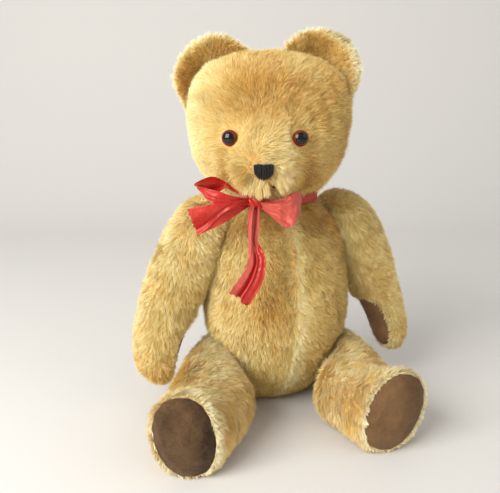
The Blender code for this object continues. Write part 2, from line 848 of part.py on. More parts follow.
limb(
    "left",
    "arm",
    LEFT_ARM,
    LEFT_ARM[-1][0] + ARM_END,
    arm_place(1),
    "left_shoulder",
    turn=LEFT_PAW_TURN,
)
limb("right", "arm", RIGHT_ARM, RIGHT_ARM[-1][0] + ARM_END, arm_place(-1), "right_shoulder")
limb(
    "left",
    "leg",
    LEFT_LEG,
    LEFT_LEG[-1][0] + LEG_END,
    leg_place(1, LEFT_SPLAY),
    "left_hip",
    roll=LEFT_FOOT_LEAN,
    floor=True,
    flat_end=LEG_FLAT_END,
)
limb(
    "right",
    "leg",
    RIGHT_LEG,
    RIGHT_LEG[-1][0] + LEG_END,
    leg_place(-1, RIGHT_SPLAY),
    "right_hip",
    roll=RIGHT_FOOT_LEAN,
    floor=True,
    flat_end=LEG_FLAT_END,
)


# Ribbon: a band round the neck, a knot, two loops and two tails
def strip(path, heights, thick, closed=False):
    """A ribbon standing on its edge along a level path. Heights give its low and high edge."""
    count = len(path)
    points = []
    for k, (point, (low_edge, high_edge)) in enumerate(zip(path, heights)):
        before = path[k - 1] if closed or k else path[0]
        after = path[(k + 1) % count] if closed or k < count - 1 else path[-1]
        along = (Vector(after) - Vector(before)).normalized()
        side = Vector((-along.y, along.x)) * thick / 2
        x, y = point
        for step in (-1, 1):
            points.append((x + side.x * step, y + side.y * step, low_edge))
            points.append((x + side.x * step, y + side.y * step, high_edge))
    faces = []
    for k in range(count if closed else count - 1):
        a = 4 * k
        b = 4 * ((k + 1) % count)
        faces += [
            (a, b, b + 1, a + 1),
            (a + 2, a + 3, b + 3, b + 2),
            (a, a + 2, b + 2, b),
            (a + 1, b + 1, b + 3, a + 3),
        ]
    if not closed:
        last = 4 * (count - 1)
        faces += [(0, 1, 3, 2), (last, last + 2, last + 3, last + 1)]
    mesh = bpy.data.meshes.new("strip")
    mesh.from_pydata(points, [], faces)
    work = bmesh.new()
    work.from_mesh(mesh)
    bmesh.ops.recalc_face_normals(work, faces=work.faces)
    work.to_mesh(mesh)
    work.free()
    return new_object("strip", mesh)


BAND_RADIUS = 0.0525
BAND_X = -0.006
KNOT = Vector((-0.032, -0.052, 0.238))
band_path = []
band_heights = []
for k in range(28):
    angle = 2 * math.pi * k / 28
    band_path.append(
        (BAND_X + math.cos(angle) * BAND_RADIUS, math.sin(angle) * BAND_RADIUS)
    )
    band_heights.append((0.2340, 0.2455))
ribbon = strip(band_path, band_heights, RIBBON_THICK, closed=True)

knot_rows = [
    (-0.0085, -0.008, 0.008, -0.008, 0.008),
    (-0.0040, -0.010, 0.010, -0.0095, 0.0095),
    (0.0040, -0.010, 0.010, -0.0095, 0.0095),
    (0.0085, -0.008, 0.008, -0.008, 0.008),
]
knot_out = Vector((KNOT.x - NECK_X, KNOT.y, 0)).normalized()
knot_side = Vector((0, 0, 1)).cross(knot_out)
knot_centre = KNOT + knot_out * 0.005
knot_cage = limb_mesh(
    knot_rows,
    0.0105,
    lambda s, w, t: knot_centre + knot_out * s + knot_side * w + Vector((0, 0, t)),
)
boolean(ribbon, soft_form(knot_cage, 0.0, True), "UNION")

LEFT_LOOP = [
    ((-0.036, -0.063), (0.234, 0.243)),
    ((-0.050, -0.068), (0.231, 0.247)),
    ((-0.066, -0.068), (0.228, 0.252)),
    ((-0.084, -0.060), (0.226, 0.262)),
    ((-0.099, -0.047), (0.228, 0.259)),
    ((-0.103, -0.038), (0.231, 0.256)),
    ((-0.098, -0.033), (0.230, 0.255)),
    ((-0.084, -0.037), (0.228, 0.253)),
    ((-0.069, -0.046), (0.229, 0.249)),
    ((-0.055, -0.053), (0.232, 0.246)),
    ((-0.040, -0.056), (0.234, 0.243)),
]
RIGHT_LOOP = [
    ((-0.038, -0.062), (0.234, 0.244)),
    ((-0.022, -0.072), (0.228, 0.248)),
    ((-0.009, -0.077), (0.222, 0.248)),
    ((0.002, -0.079), (0.218, 0.247)),
    ((0.008, -0.076), (0.219, 0.245)),
    ((0.004, -0.071), (0.220, 0.244)),
    ((-0.007, -0.069), (0.224, 0.245)),
    ((-0.018, -0.063), (0.230, 0.245)),
    ((-0.034, -0.055), (0.234, 0.243)),
]
LEFT_TAIL = [
    ((-0.036, -0.063), (0.233, 0.241)),
    ((-0.054, -0.074), (0.222, 0.240)),
    ((-0.074, -0.073), (0.215, 0.240)),
    ((-0.094, -0.066), (0.207, 0.238)),
    ((-0.106, -0.060), (0.202, 0.236)),
]
for rows in (LEFT_LOOP, RIGHT_LOOP, LEFT_TAIL):
    piece = strip([row[0] for row in rows], [row[1] for row in rows], RIBBON_THICK)
    boolean(ribbon, piece, "UNION")

FALL = [
    (0.236, 0.007, -0.068),
    (0.226, 0.008, -0.076),
    (0.212, 0.007, -0.083),
    (0.196, 0.008, -0.089),
    (0.180, 0.013, -0.094),
    (0.164, 0.016, -0.096),
    (0.148, 0.013, -0.096),
]
fall_points = []
for k, (height, half_wide, y) in enumerate(FALL):
    x = -0.044 - 0.0016 * k
    for dx in (-half_wide, half_wide):
        for dy in (-RIBBON_THICK / 2, RIBBON_THICK / 2):
            fall_points.append((x + dx, y + dy, height))
fall_faces = [(0, 1, 3, 2)]
for k in range(len(FALL) - 1):
    a, b = 4 * k, 4 * (k + 1)
    fall_faces += [
        (a, a + 2, b + 2, b),
        (a + 1, b + 1, b + 3, a + 3),
        (a, b, b + 1, a + 1),
        (a + 2, a + 3, b + 3, b + 2),
    ]
end = 4 * (len(FALL) - 1)
fall_faces.append((end, end + 2, end + 3, end + 1))
fall_mesh = bpy.data.meshes.new("fall")
fall_mesh.from_pydata(fall_points, [], fall_faces)
work = bmesh.new()
work.from_mesh(fall_mesh)
bmesh.ops.recalc_face_normals(work, faces=work.faces)
work.to_mesh(fall_mesh)
work.free()
boolean(ribbon, new_object("fall", fall_mesh), "UNION")
finish(ribbon, "ribbon_bow", "ribbon", smooth=False)
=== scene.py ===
import json
import math

import bmesh
import bpy
import numpy as np
from mathutils import Matrix, Vector
from mathutils.bvhtree import BVHTree
from mathutils.kdtree import KDTree


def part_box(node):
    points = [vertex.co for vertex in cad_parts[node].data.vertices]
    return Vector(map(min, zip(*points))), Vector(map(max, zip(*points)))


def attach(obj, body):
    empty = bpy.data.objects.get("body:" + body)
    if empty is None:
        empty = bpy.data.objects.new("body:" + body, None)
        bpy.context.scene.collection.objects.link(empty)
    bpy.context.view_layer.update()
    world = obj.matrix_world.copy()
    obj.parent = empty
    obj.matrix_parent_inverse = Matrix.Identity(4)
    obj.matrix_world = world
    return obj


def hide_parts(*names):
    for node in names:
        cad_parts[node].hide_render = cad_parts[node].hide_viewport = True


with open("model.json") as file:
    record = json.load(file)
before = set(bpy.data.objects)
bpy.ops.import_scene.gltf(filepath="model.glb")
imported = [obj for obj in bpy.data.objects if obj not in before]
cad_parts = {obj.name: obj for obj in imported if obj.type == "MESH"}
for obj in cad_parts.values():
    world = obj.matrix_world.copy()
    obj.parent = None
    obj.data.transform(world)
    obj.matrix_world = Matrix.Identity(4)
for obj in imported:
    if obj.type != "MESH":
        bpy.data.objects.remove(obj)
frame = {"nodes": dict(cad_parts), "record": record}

NODES = frame["nodes"]
BODY_OF = {node: body for body, nodes in frame["record"]["behaviour"]["bodies"].items() for node in nodes}

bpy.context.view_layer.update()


def write_sizes():
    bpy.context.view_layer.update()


write_sizes()

# Camera and the frame that it sees in
CAMERA_AT = Vector((-0.2171, -0.6556, 0.345))
YAW = math.radians(16)
PITCH = math.radians(13.5)
FOCAL = 620.0
MIDDLE = (250.0, 246.5)


def seen(px, py, y):
    """The point at this depth along Y that the camera sees at this place in the image."""
    right = (px - MIDDLE[0]) / FOCAL
    down = (py - MIDDLE[1]) / FOCAL
    ahead = math.cos(PITCH) - down * math.sin(PITCH)
    rise = -math.sin(PITCH) - down * math.cos(PITCH)
    ray = Vector((
        right * math.cos(YAW) + ahead * math.sin(YAW),
        ahead * math.cos(YAW) - right * math.sin(YAW),
        rise,
    ))
    return CAMERA_AT + ray * ((y - CAMERA_AT.y) / ray.y)


def linear(rgb):
    return tuple(((c / 255 + 0.055) / 1.055) ** 2.4 if c > 10 else c / 255 / 12.92 for c in rgb)


def material(name, rgb, roughness=0.6, **more):
    """A plain material. The colour is given as 0 to 255 screen values."""
    made = bpy.data.materials.new(name)
    made.use_nodes = True
    shader = made.node_tree.nodes["Principled BSDF"]
    shader.inputs["Base Color"].default_value = (*linear(rgb), 1.0)
    shader.inputs["Roughness"].default_value = roughness
    for key, value in more.items():
        shader.inputs[key.replace("_", " ")].default_value = value
    return made


def grained(made, size, depth, spread, stretch=(1.0, 1.0, 1.0)):
    """Gives a material a fine raised grain of this size, and a roughness that varies with it."""
    nodes, links = made.node_tree.nodes, made.node_tree.links
    shader = nodes["Principled BSDF"]
    place = nodes.new("ShaderNodeTexCoord")
    drawn = nodes.new("ShaderNodeMapping")
    drawn.inputs["Scale"].default_value = stretch
    grain = nodes.new("ShaderNodeTexNoise")
    grain.inputs["Scale"].default_value = 1.0 / size
    grain.inputs["Detail"].default_value = 3.0
    raised = nodes.new("ShaderNodeBump")
    raised.inputs["Strength"].default_value = 0.6
    raised.inputs["Distance"].default_value = depth
    span = nodes.new("ShaderNodeMapRange")
    middle = shader.inputs["Roughness"].default_value
    span.inputs["To Min"].default_value = middle - spread
    span.inputs["To Max"].default_value = middle + spread
    links.new(place.outputs["Object"], drawn.inputs["Vector"])
    links.new(drawn.outputs["Vector"], grain.inputs["Vector"])
    links.new(grain.outputs["Fac"], raised.inputs["Height"])
    links.new(grain.outputs["Fac"], span.inputs["Value"])
    links.new(raised.outputs["Normal"], shader.inputs["Normal"])
    links.new(span.outputs["Result"], shader.inputs["Roughness"])


def link(name, mesh):
    obj = bpy.data.objects.new(name, mesh)
    bpy.context.scene.collection.objects.link(obj)
    return obj


# Smooth random fields
def hashed(ix, iy, iz, seed):
    n = (ix * 73856093) ^ (iy * 19349663) ^ (iz * 83492791) ^ (seed * 2654435)
    n = (n ^ (n >> 13)) & 0x7FFFFFFF
    n = (n * 1274126177) & 0x7FFFFFFF
    n = (n ^ (n >> 16)) & 0x7FFFFFFF
    return (n % 65536) / 32768.0 - 1.0


def noise(points, size, seed):
    """Smooth noise from -1 to 1, whose grains are about this size."""
    p = points / size + 1000.0
    base = np.floor(p).astype(np.int64)
    f = p - base
    f = f * f * (3 - 2 * f)
    total = 0.0
    for dx in (0, 1):
        for dy in (0, 1):
            for dz in (0, 1):
                weight = (
                    (f[:, 0] if dx else 1 - f[:, 0])
                    * (f[:, 1] if dy else 1 - f[:, 1])
                    * (f[:, 2] if dz else 1 - f[:, 2])
                )
                total = total + weight * hashed(base[:, 0] + dx, base[:, 1] + dy, base[:, 2] + dz, seed)
    return total


def unit(v):
    return v / np.maximum(np.linalg.norm(v, axis=1, keepdims=True), 1e-9)


def ease(x, low, high):
    """Rises smoothly from 0 at low to 1 at high."""
    t = np.clip((x - low) / (high - low), 0, 1)
    return t * t * (3 - 2 * t)


# Surfaces taken from the frame
def surface(node):
    """A node's points, triangles and smooth normals, with its doubled points merged."""
    work = bmesh.new()
    work.from_mesh(NODES[node].data)
    bmesh.ops.remove_doubles(work, verts=work.verts, dist=0.00002)
    bmesh.ops.triangulate(work, faces=work.faces)
    bmesh.ops.recalc_face_normals(work, faces=work.faces)
    work.normal_update()
    points = np.array([v.co for v in work.verts])
    normals = np.array([v.normal for v in work.verts])
    faces = np.array([[v.index for v in f.verts] for f in work.faces])
    work.free()
    return points, faces, normals


def tree_of(points, faces):
    return BVHTree.FromPolygons([Vector(p) for p in points], [tuple(int(i) for i in f) for f in faces])


def outside_faces(points, faces, centre_line):
    """The faces of a hollow cover that look out of it, not into its hollow."""
    tree = tree_of(points, faces)
    keep = []
    for k, face in enumerate(faces):
        a, b, c = (Vector(points[i]) for i in face)
        normal = (b - a).cross(c - a)
        if normal.length < 1e-12:
            continue
        normal.normalize()
        middle = (a + b + c) / 3
        hit = tree.ray_cast(middle + normal * 0.0004, normal, 0.4)[0]
        away = middle - centre_line(middle)
        if hit is None or normal.dot(away.normalized()) > 0.15:
            keep.append(k)
    return faces[np.array(keep)]


def upright_line(x, y):
    return lambda p: Vector((x, y, p.z))


def limb_line(start, end):
    start, end = Vector(start), Vector(end)
    run = end - start

    def nearest(p):
        t = max(0.0, min(1.0, (p - start).dot(run) / run.length_squared))
        return start + run * t

    return nearest


# Ribbon
RIBBON = material(
    "satin", (188, 30, 27), 0.36, Specular_IOR_Level=0.9, Specular_Tint=(1.0, 0.62, 0.50, 1.0),
    Sheen_Weight=0.25, Sheen_Roughness=0.35, Sheen_Tint=(1.0, 0.66, 0.54, 1.0),
)
# The ribbon's dull back: a matte reverse side, also painted paler than the face as a painted highlight where light
# falls on the right loop and the centre tail.
RIBBON_BACK_AND_HIGHLIGHT = material(
    "satin_back_and_highlight", (196, 80, 68), 0.46, Specular_IOR_Level=0.7, Specular_Tint=(1.0, 0.74, 0.64, 1.0),
    Sheen_Weight=0.35, Sheen_Roughness=0.4, Sheen_Tint=(1.0, 0.76, 0.66, 1.0),
)
grained(RIBBON, 0.0012, 0.00020, 0.10, (1.0, 1.0, 0.5))
grained(RIBBON_BACK_AND_HIGHLIGHT, 0.0010, 0.00026, 0.10, (1.0, 1.0, 0.6))
THICK = 0.00035


def spline(rows, count):
    """Points evenly along a smooth curve through the rows."""
    rows = np.array(rows, dtype=float)
    steps = np.linspace(0, len(rows) - 1, count)
    found = []
    for s in steps:
        k = min(int(s), len(rows) - 2)
        f = s - k
        p0 = rows[max(k - 1, 0)]
        p1, p2 = rows[k], rows[k + 1]
        p3 = rows[min(k + 2, len(rows) - 1)]
        found.append(
            0.5 * (2 * p1 + (p2 - p0) * f + (2 * p0 - 5 * p1 + 4 * p2 - p3) * f * f
                   + (3 * p1 - p0 - 3 * p2 + p3) * f ** 3)
        )
    return np.array(found)


def strap(first, second, along, across, fold, crumple=0.0006, end=None, seed=1):
    """Cloth between two edges. Fold lifts each place (0 to 1 along, 0 to 1 across) off the flat cloth."""
    a = spline(first, along)
    b = spline(second, along)
    grid = np.zeros((along, across, 3))
    for j in range(across):
        v = j / (across - 1)
        grid[:, j] = a * (1 - v) + b * v
    du = np.gradient(grid, axis=0)
    dv = np.gradient(grid, axis=1)
    normal = unit(np.cross(du.reshape(-1, 3), dv.reshape(-1, 3))).reshape(grid.shape)
    u = np.linspace(0, 1, along)[:, None] * np.ones((1, across))
    v = np.ones((along, 1)) * np.linspace(0, 1, across)[None, :]
    lift = fold(u, v)
    flat = grid.reshape(-1, 3)
    lift = lift + crumple * noise(flat, 0.006, seed).reshape(u.shape) * np.minimum(1, 5 * u)
    lift = lift + 0.7 * crumple * noise(flat, 0.0027, seed + 30).reshape(u.shape) * np.minimum(1, 5 * u)
    grid = grid + normal * lift[..., None]
    if end is not None:
        run = grid[-1] - grid[-2]
        run = run / np.linalg.norm(run, axis=1, keepdims=True)
        for j in range(across):
            grid[-1, j] += run[j] * end(j / (across - 1))
    return grid


def grids_to_mesh(name, grids):
    """Each grid comes with whether it closes on itself, and a rule for where it shows the ribbon's dull back, painted
    paler there as a painted highlight.
    """
    points, faces, back_and_highlight_faces = [], [], []
    for grid, closed, dull_back_and_highlight in grids:
        rows, across = grid.shape[:2]
        first = len(points)
        points += [tuple(p) for p in grid.reshape(-1, 3)]
        for i in range(rows if closed else rows - 1):
            for j in range(across - 1):
                n = (i + 1) % rows
                faces.append((first + i * across + j, first + n * across + j,
                              first + n * across + j + 1, first + i * across + j + 1))
                back_and_highlight_faces.append(int(dull_back_and_highlight(i / (rows - 1), j / (across - 1))))
    mesh = bpy.data.meshes.new(name)
    mesh.from_pydata(points, [], faces)
    mesh.polygons.foreach_set("material_index", back_and_highlight_faces)
    mesh.shade_smooth()
    return mesh


def edge(*points):
    return [tuple(seen(*p)) for p in points]


left_tail = strap(
    edge((250, 199.5, -0.067), (238, 200.5, -0.076), (226, 202.3, -0.080), (213, 204, -0.079), (200, 206.4, -0.075),
         (188.5, 209, -0.069)),
    edge((250, 206, -0.067), (242, 211, -0.072), (232, 217.8, -0.074), (220, 225, -0.073), (208, 230.5, -0.069),
         (196.7, 235.6, -0.066)),
    70, 40,
    lambda u, v: (
        0.0020 * np.sin(math.pi * 2.0 * v + 0.6 - 1.1 * u) * np.minimum(1, 2.5 * u)
        + 0.0030 * np.exp(-np.abs(v - 0.26 - 0.72 * ease(u, 0.22, 0.95)) / 0.035) * ease(u, 0.12, 0.3)
        - 0.0016 * np.exp(-((v - 0.12 - 0.72 * ease(u, 0.22, 0.95)) / 0.07) ** 2) * ease(u, 0.2, 0.4)
        + 0.0012 * np.sin(math.pi * 9 * v + 3 * u) * (1 - ease(u, 0.0, 0.28))
    ),
    crumple=0.0005,
    end=lambda v: 0.0014 * math.sin(v * 13.0) + 0.0009 * math.sin(v * 41.0) - 0.0012 * v,
    seed=11,
)
left_loop = strap(
    edge((251, 204.5, -0.068), (240, 205.8, -0.076), (228, 206.2, -0.080), (216, 204.5, -0.078), (206.5, 199, -0.072),
         (199.5, 190.5, -0.062), (204.5, 193, -0.055), (212, 194.5, -0.051), (219.5, 191.5, -0.049),
         (226, 187.8, -0.050), (233, 191.5, -0.053), (242, 196, -0.058), (251, 199.5, -0.063)),
    edge((251, 198, -0.067), (241, 197.2, -0.073), (231, 195.8, -0.076), (220, 191.8, -0.075), (208.5, 189, -0.069),
         (194.8, 184.8, -0.060), (201, 180, -0.051), (211, 176.6, -0.046), (219, 178, -0.044),
         (227, 183, -0.045), (235, 189, -0.049), (243, 192.6, -0.056), (251, 196.6, -0.062)),
    120, 30,
    lambda u, v: (
        0.0009 * np.sin(math.pi * 3 * v + 4 * u) * np.sin(math.pi * u)
        + 0.0026 * np.exp(-np.abs(v - 0.55) / 0.05) * np.exp(-((u - 0.58) / 0.07) ** 2)
        - 0.0020 * np.exp(-((v - 0.28) / 0.10) ** 2) * np.exp(-((u - 0.60) / 0.08) ** 2)
        + 0.0010 * np.sin(math.pi * 6 * v + 1.0) * (1 - ease(u, 0.0, 0.2))
        + 0.0020 * np.exp(-np.abs(v - 0.5 + 1.2 * (u - 0.3)) / 0.05) * np.exp(-((u - 0.3) / 0.08) ** 2)
    ),
    crumple=0.0006,
    seed=12,
)


def right_fold(u, v):
    """The loop's top band folds over a deep crease near the knot; the rest is crumpled."""
    crease = 0.42 - 0.75 * u
    near = 1 - ease(u, 0.22, 0.40)
    ledge = 0.0042 * (1 - ease(v - crease, -0.02, 0.05)) * near
    pocket = -0.0030 * np.exp(-((v - crease - 0.12) / 0.09) ** 2) * near
    gather = 0.0011 * np.sin(math.pi * 5.0 * v + 0.4) * np.exp(-((u - 0.10) / 0.10) ** 2)
    dents = -0.0026 * np.exp(-((v - 0.62) / 0.07) ** 2 - ((u - 0.20) / 0.05) ** 2)
    dents = dents + 0.0024 * np.exp(-((v - 0.78) / 0.08) ** 2 - ((u - 0.26) / 0.05) ** 2)
    return ledge + pocket + gather + dents


right_loop = strap(
    edge((260, 197.8, -0.068), (270, 198.8, -0.078), (280, 197.3, -0.084), (290, 194.2, -0.087), (298, 191.3, -0.085),
         (301.6, 193.5, -0.079), (299, 195, -0.072), (289, 198, -0.068), (278, 200, -0.066),
         (269, 201, -0.065), (261, 200.5, -0.064)),
    edge((260, 207, -0.069), (267, 212.5, -0.082), (275, 219.5, -0.091), (286.5, 228.2, -0.097), (296.5, 221.5, -0.095),
         (301.2, 209, -0.085), (298, 208, -0.072), (288, 210, -0.068), (278, 208.5, -0.066),
         (269, 206, -0.065), (261, 203.5, -0.064)),
    120, 44,
    right_fold,
    crumple=0.0011,
    seed=13,
)
centre_tail = strap(
    edge((251, 206, -0.070), (248.2, 216, -0.079), (247.6, 228, -0.084), (248.4, 241, -0.088), (248, 254, -0.092),
         (246.6, 266, -0.095), (240.3, 277, -0.096), (234, 285, -0.097), (228, 292, -0.098)),
    edge((259, 206, -0.070), (259.6, 216, -0.079), (258.8, 229, -0.084), (257.2, 240.5, -0.088), (261.8, 249, -0.093),
         (265.2, 259, -0.097), (265, 271, -0.099), (261.5, 283.5, -0.099), (250, 303.5, -0.099)),
    110, 44,
    lambda u, v: (
        0.0026 * np.sin(math.pi * 2.2 * v) * (1 - ease(u, 0.35, 0.6))
        + 0.0010 * np.sin(math.pi * 7 * v + 9 * u) * (1 - ease(u, 0.4, 0.6))
        + 0.0034 * (1 - ease(v, 0.30, 0.44)) * ease(u, 0.34, 0.5)
        + 0.0026 * np.exp(-((v - 0.56) / 0.055) ** 2) * ease(u, 0.45, 0.6)
        + 0.0012 * np.exp(-((v - 0.80) / 0.090) ** 2) * ease(u, 0.48, 0.66)
        - 0.0016 * np.exp(-((v - 0.46) / 0.035) ** 2) * ease(u, 0.40, 0.5)
        + 0.0010 * ease(v, 0.92, 1.0) * ease(u, 0.5, 0.7)
    ),
    crumple=0.0006,
    end=lambda v: 0.0044 * ease(v, 0.50, 0.85) * (1 - ease(v, 0.88, 1.0)) + 0.0011 * math.sin(v * 21),
    seed=14,
)

# The neck band, typed to the radius and height of the frame's own band
BAND_CENTRE = Vector((-0.006, 0.0, 0.2398))
BAND_RADIUS = 0.0525
band = np.zeros((96, 9, 3))
for i in range(96):
    angle = 2 * math.pi * i / 96
    for j in range(9):
        v = j / 8 - 0.5
        pleat = 0.0009 * math.sin(v * 19 + 1.3 * math.sin(angle * 3)) + 0.0005 * math.sin(angle * 17 + v * 6)
        reach = BAND_RADIUS + pleat
        band[i, j] = (
            BAND_CENTRE.x + math.cos(angle) * reach,
            BAND_CENTRE.y + math.sin(angle) * reach,
            BAND_CENTRE.z + 0.0012 + v * (0.0098 + 0.001 * math.sin(angle * 2)),
        )

# The knot: one turn of the ribbon, gathered, round the straps
knot_at = seen(255, 202.7, -0.067)
knot_run = (seen(262, 199.5, -0.067) - seen(248, 205, -0.067)).normalized()
knot_out = Vector((-0.30, -0.95, 0.05))
knot_out = (knot_out - knot_run * knot_out.dot(knot_run)).normalized()
knot_up = knot_run.cross(knot_out)
knot = np.zeros((48, 25, 3))
for i in range(48):
    angle = 2 * math.pi * i / 48
    for j in range(25):
        v = j / 24 - 0.5
        bulge = math.cos(v * 2.4)
        ridge = 0.0008 * math.sin(v * 20 + 1.4 * math.sin(angle)) + 0.0004 * math.sin(v * 44)
        place = (
            knot_at
            + knot_out * (math.cos(angle) * (0.0064 * bulge + ridge))
            + knot_up * (math.sin(angle) * (0.0074 * bulge + ridge))
            + knot_run * (v * 0.0160 + 0.0030 * math.sin(angle))
        )
        knot[i, j] = tuple(place)


def shiny(u, v):
    return False


# The right loop's front near the knot shows the dull back, painted paler as a painted highlight.
def loop_back_and_highlight(u, v):
    return u < 0.55


def tail_back_and_highlight(u, v):
    """The tail turns over to its shiny face from the right, along a slanting fold. Left of the fold it shows the dull
    back, painted paler as a painted highlight.
    """
    return v < 1.02 - 0.66 * ease(u, 0.40, 0.56) - 0.12 * ease(u, 0.56, 1.0)


bow_mesh = grids_to_mesh(
    "bow",
    [
        (left_tail, False, shiny),
        (left_loop, False, shiny),
        (right_loop, False, loop_back_and_highlight),
        (centre_tail, False, tail_back_and_highlight),
        (band, True, shiny),
        (knot, True, shiny),
    ],
)
bow = link("satin_bow", bow_mesh)
bow_mesh.materials.append(RIBBON)
bow_mesh.materials.append(RIBBON_BACK_AND_HIGHLIGHT)
bow_points = np.array([v.co for v in bow_mesh.vertices])
BOW_BOX = (bow_points.min(axis=0), bow_points.max(axis=0))
thicken = bow.modifiers.new("cloth", "SOLIDIFY")
thicken.thickness = THICK
thicken.offset = 0
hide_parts("ribbon_bow")
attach(bow, "torso")

# Fur tones: eight blond ones from deep to pale, then four golden ones
TONES = [
    (168, 127, 58),
    (198, 159, 80),
    (216, 185, 102),
    (230, 204, 124),
    (240, 219, 147),
    (246, 230, 168),
    (250, 238, 188),
    (253, 245, 211),
    (180, 129, 52),
    (207, 157, 70),
    (226, 181, 92),
    (240, 203, 118),
]
BLOND = 8
# How far out of a cover fur looks for a neighbour, and from where
PROBE_START = 0.0001
PROBE_REACH = 0.016
# The room where nothing is near, the room that counts as tight, and the least that a strand needs
OPEN = 1.0
TIGHT_ROOM = 0.002
LEAST_ROOM = 0.0003
fur_materials = [
    material(f"fur_{k}", rgb, 0.46, Specular_IOR_Level=0.5, Sheen_Weight=0.35, Sheen_Roughness=0.45,
             Sheen_Tint=(1.0, 0.95, 0.82, 1.0))
    for k, rgb in enumerate(TONES)
]
cloth_material = material("backing", (220, 180, 106), 0.9)


def clearance_tree(own):
    """The other soft solids, and the bow, that fur must stop short of."""
    points, faces = [], []
    for node, obj in NODES.items():
        if node == own or not node.endswith(("_cover", "_pad", "_ear")):
            continue
        first = len(points)
        points += [v.co.copy() for v in obj.data.vertices]
        faces += [tuple(first + i for i in p.vertices) for p in obj.data.polygons]
    first = len(points)
    points += [v.co.copy() for v in bow_mesh.vertices]
    faces += [tuple(first + i for i in p.vertices) for p in bow_mesh.polygons]
    return BVHTree.FromPolygons(points, faces)


def even_pull(p):
    return np.full(len(p), 0.36)


def chin_pull(p):
    """Light on the head, and strong in the tufts under the nose."""
    local = (p - HEAD_AT) @ TURN
    below = ease(0.268 - local[:, 2], 0.0, 0.006) * ease(-local[:, 1], 0.080, 0.095)
    return 0.28 + 0.42 * below


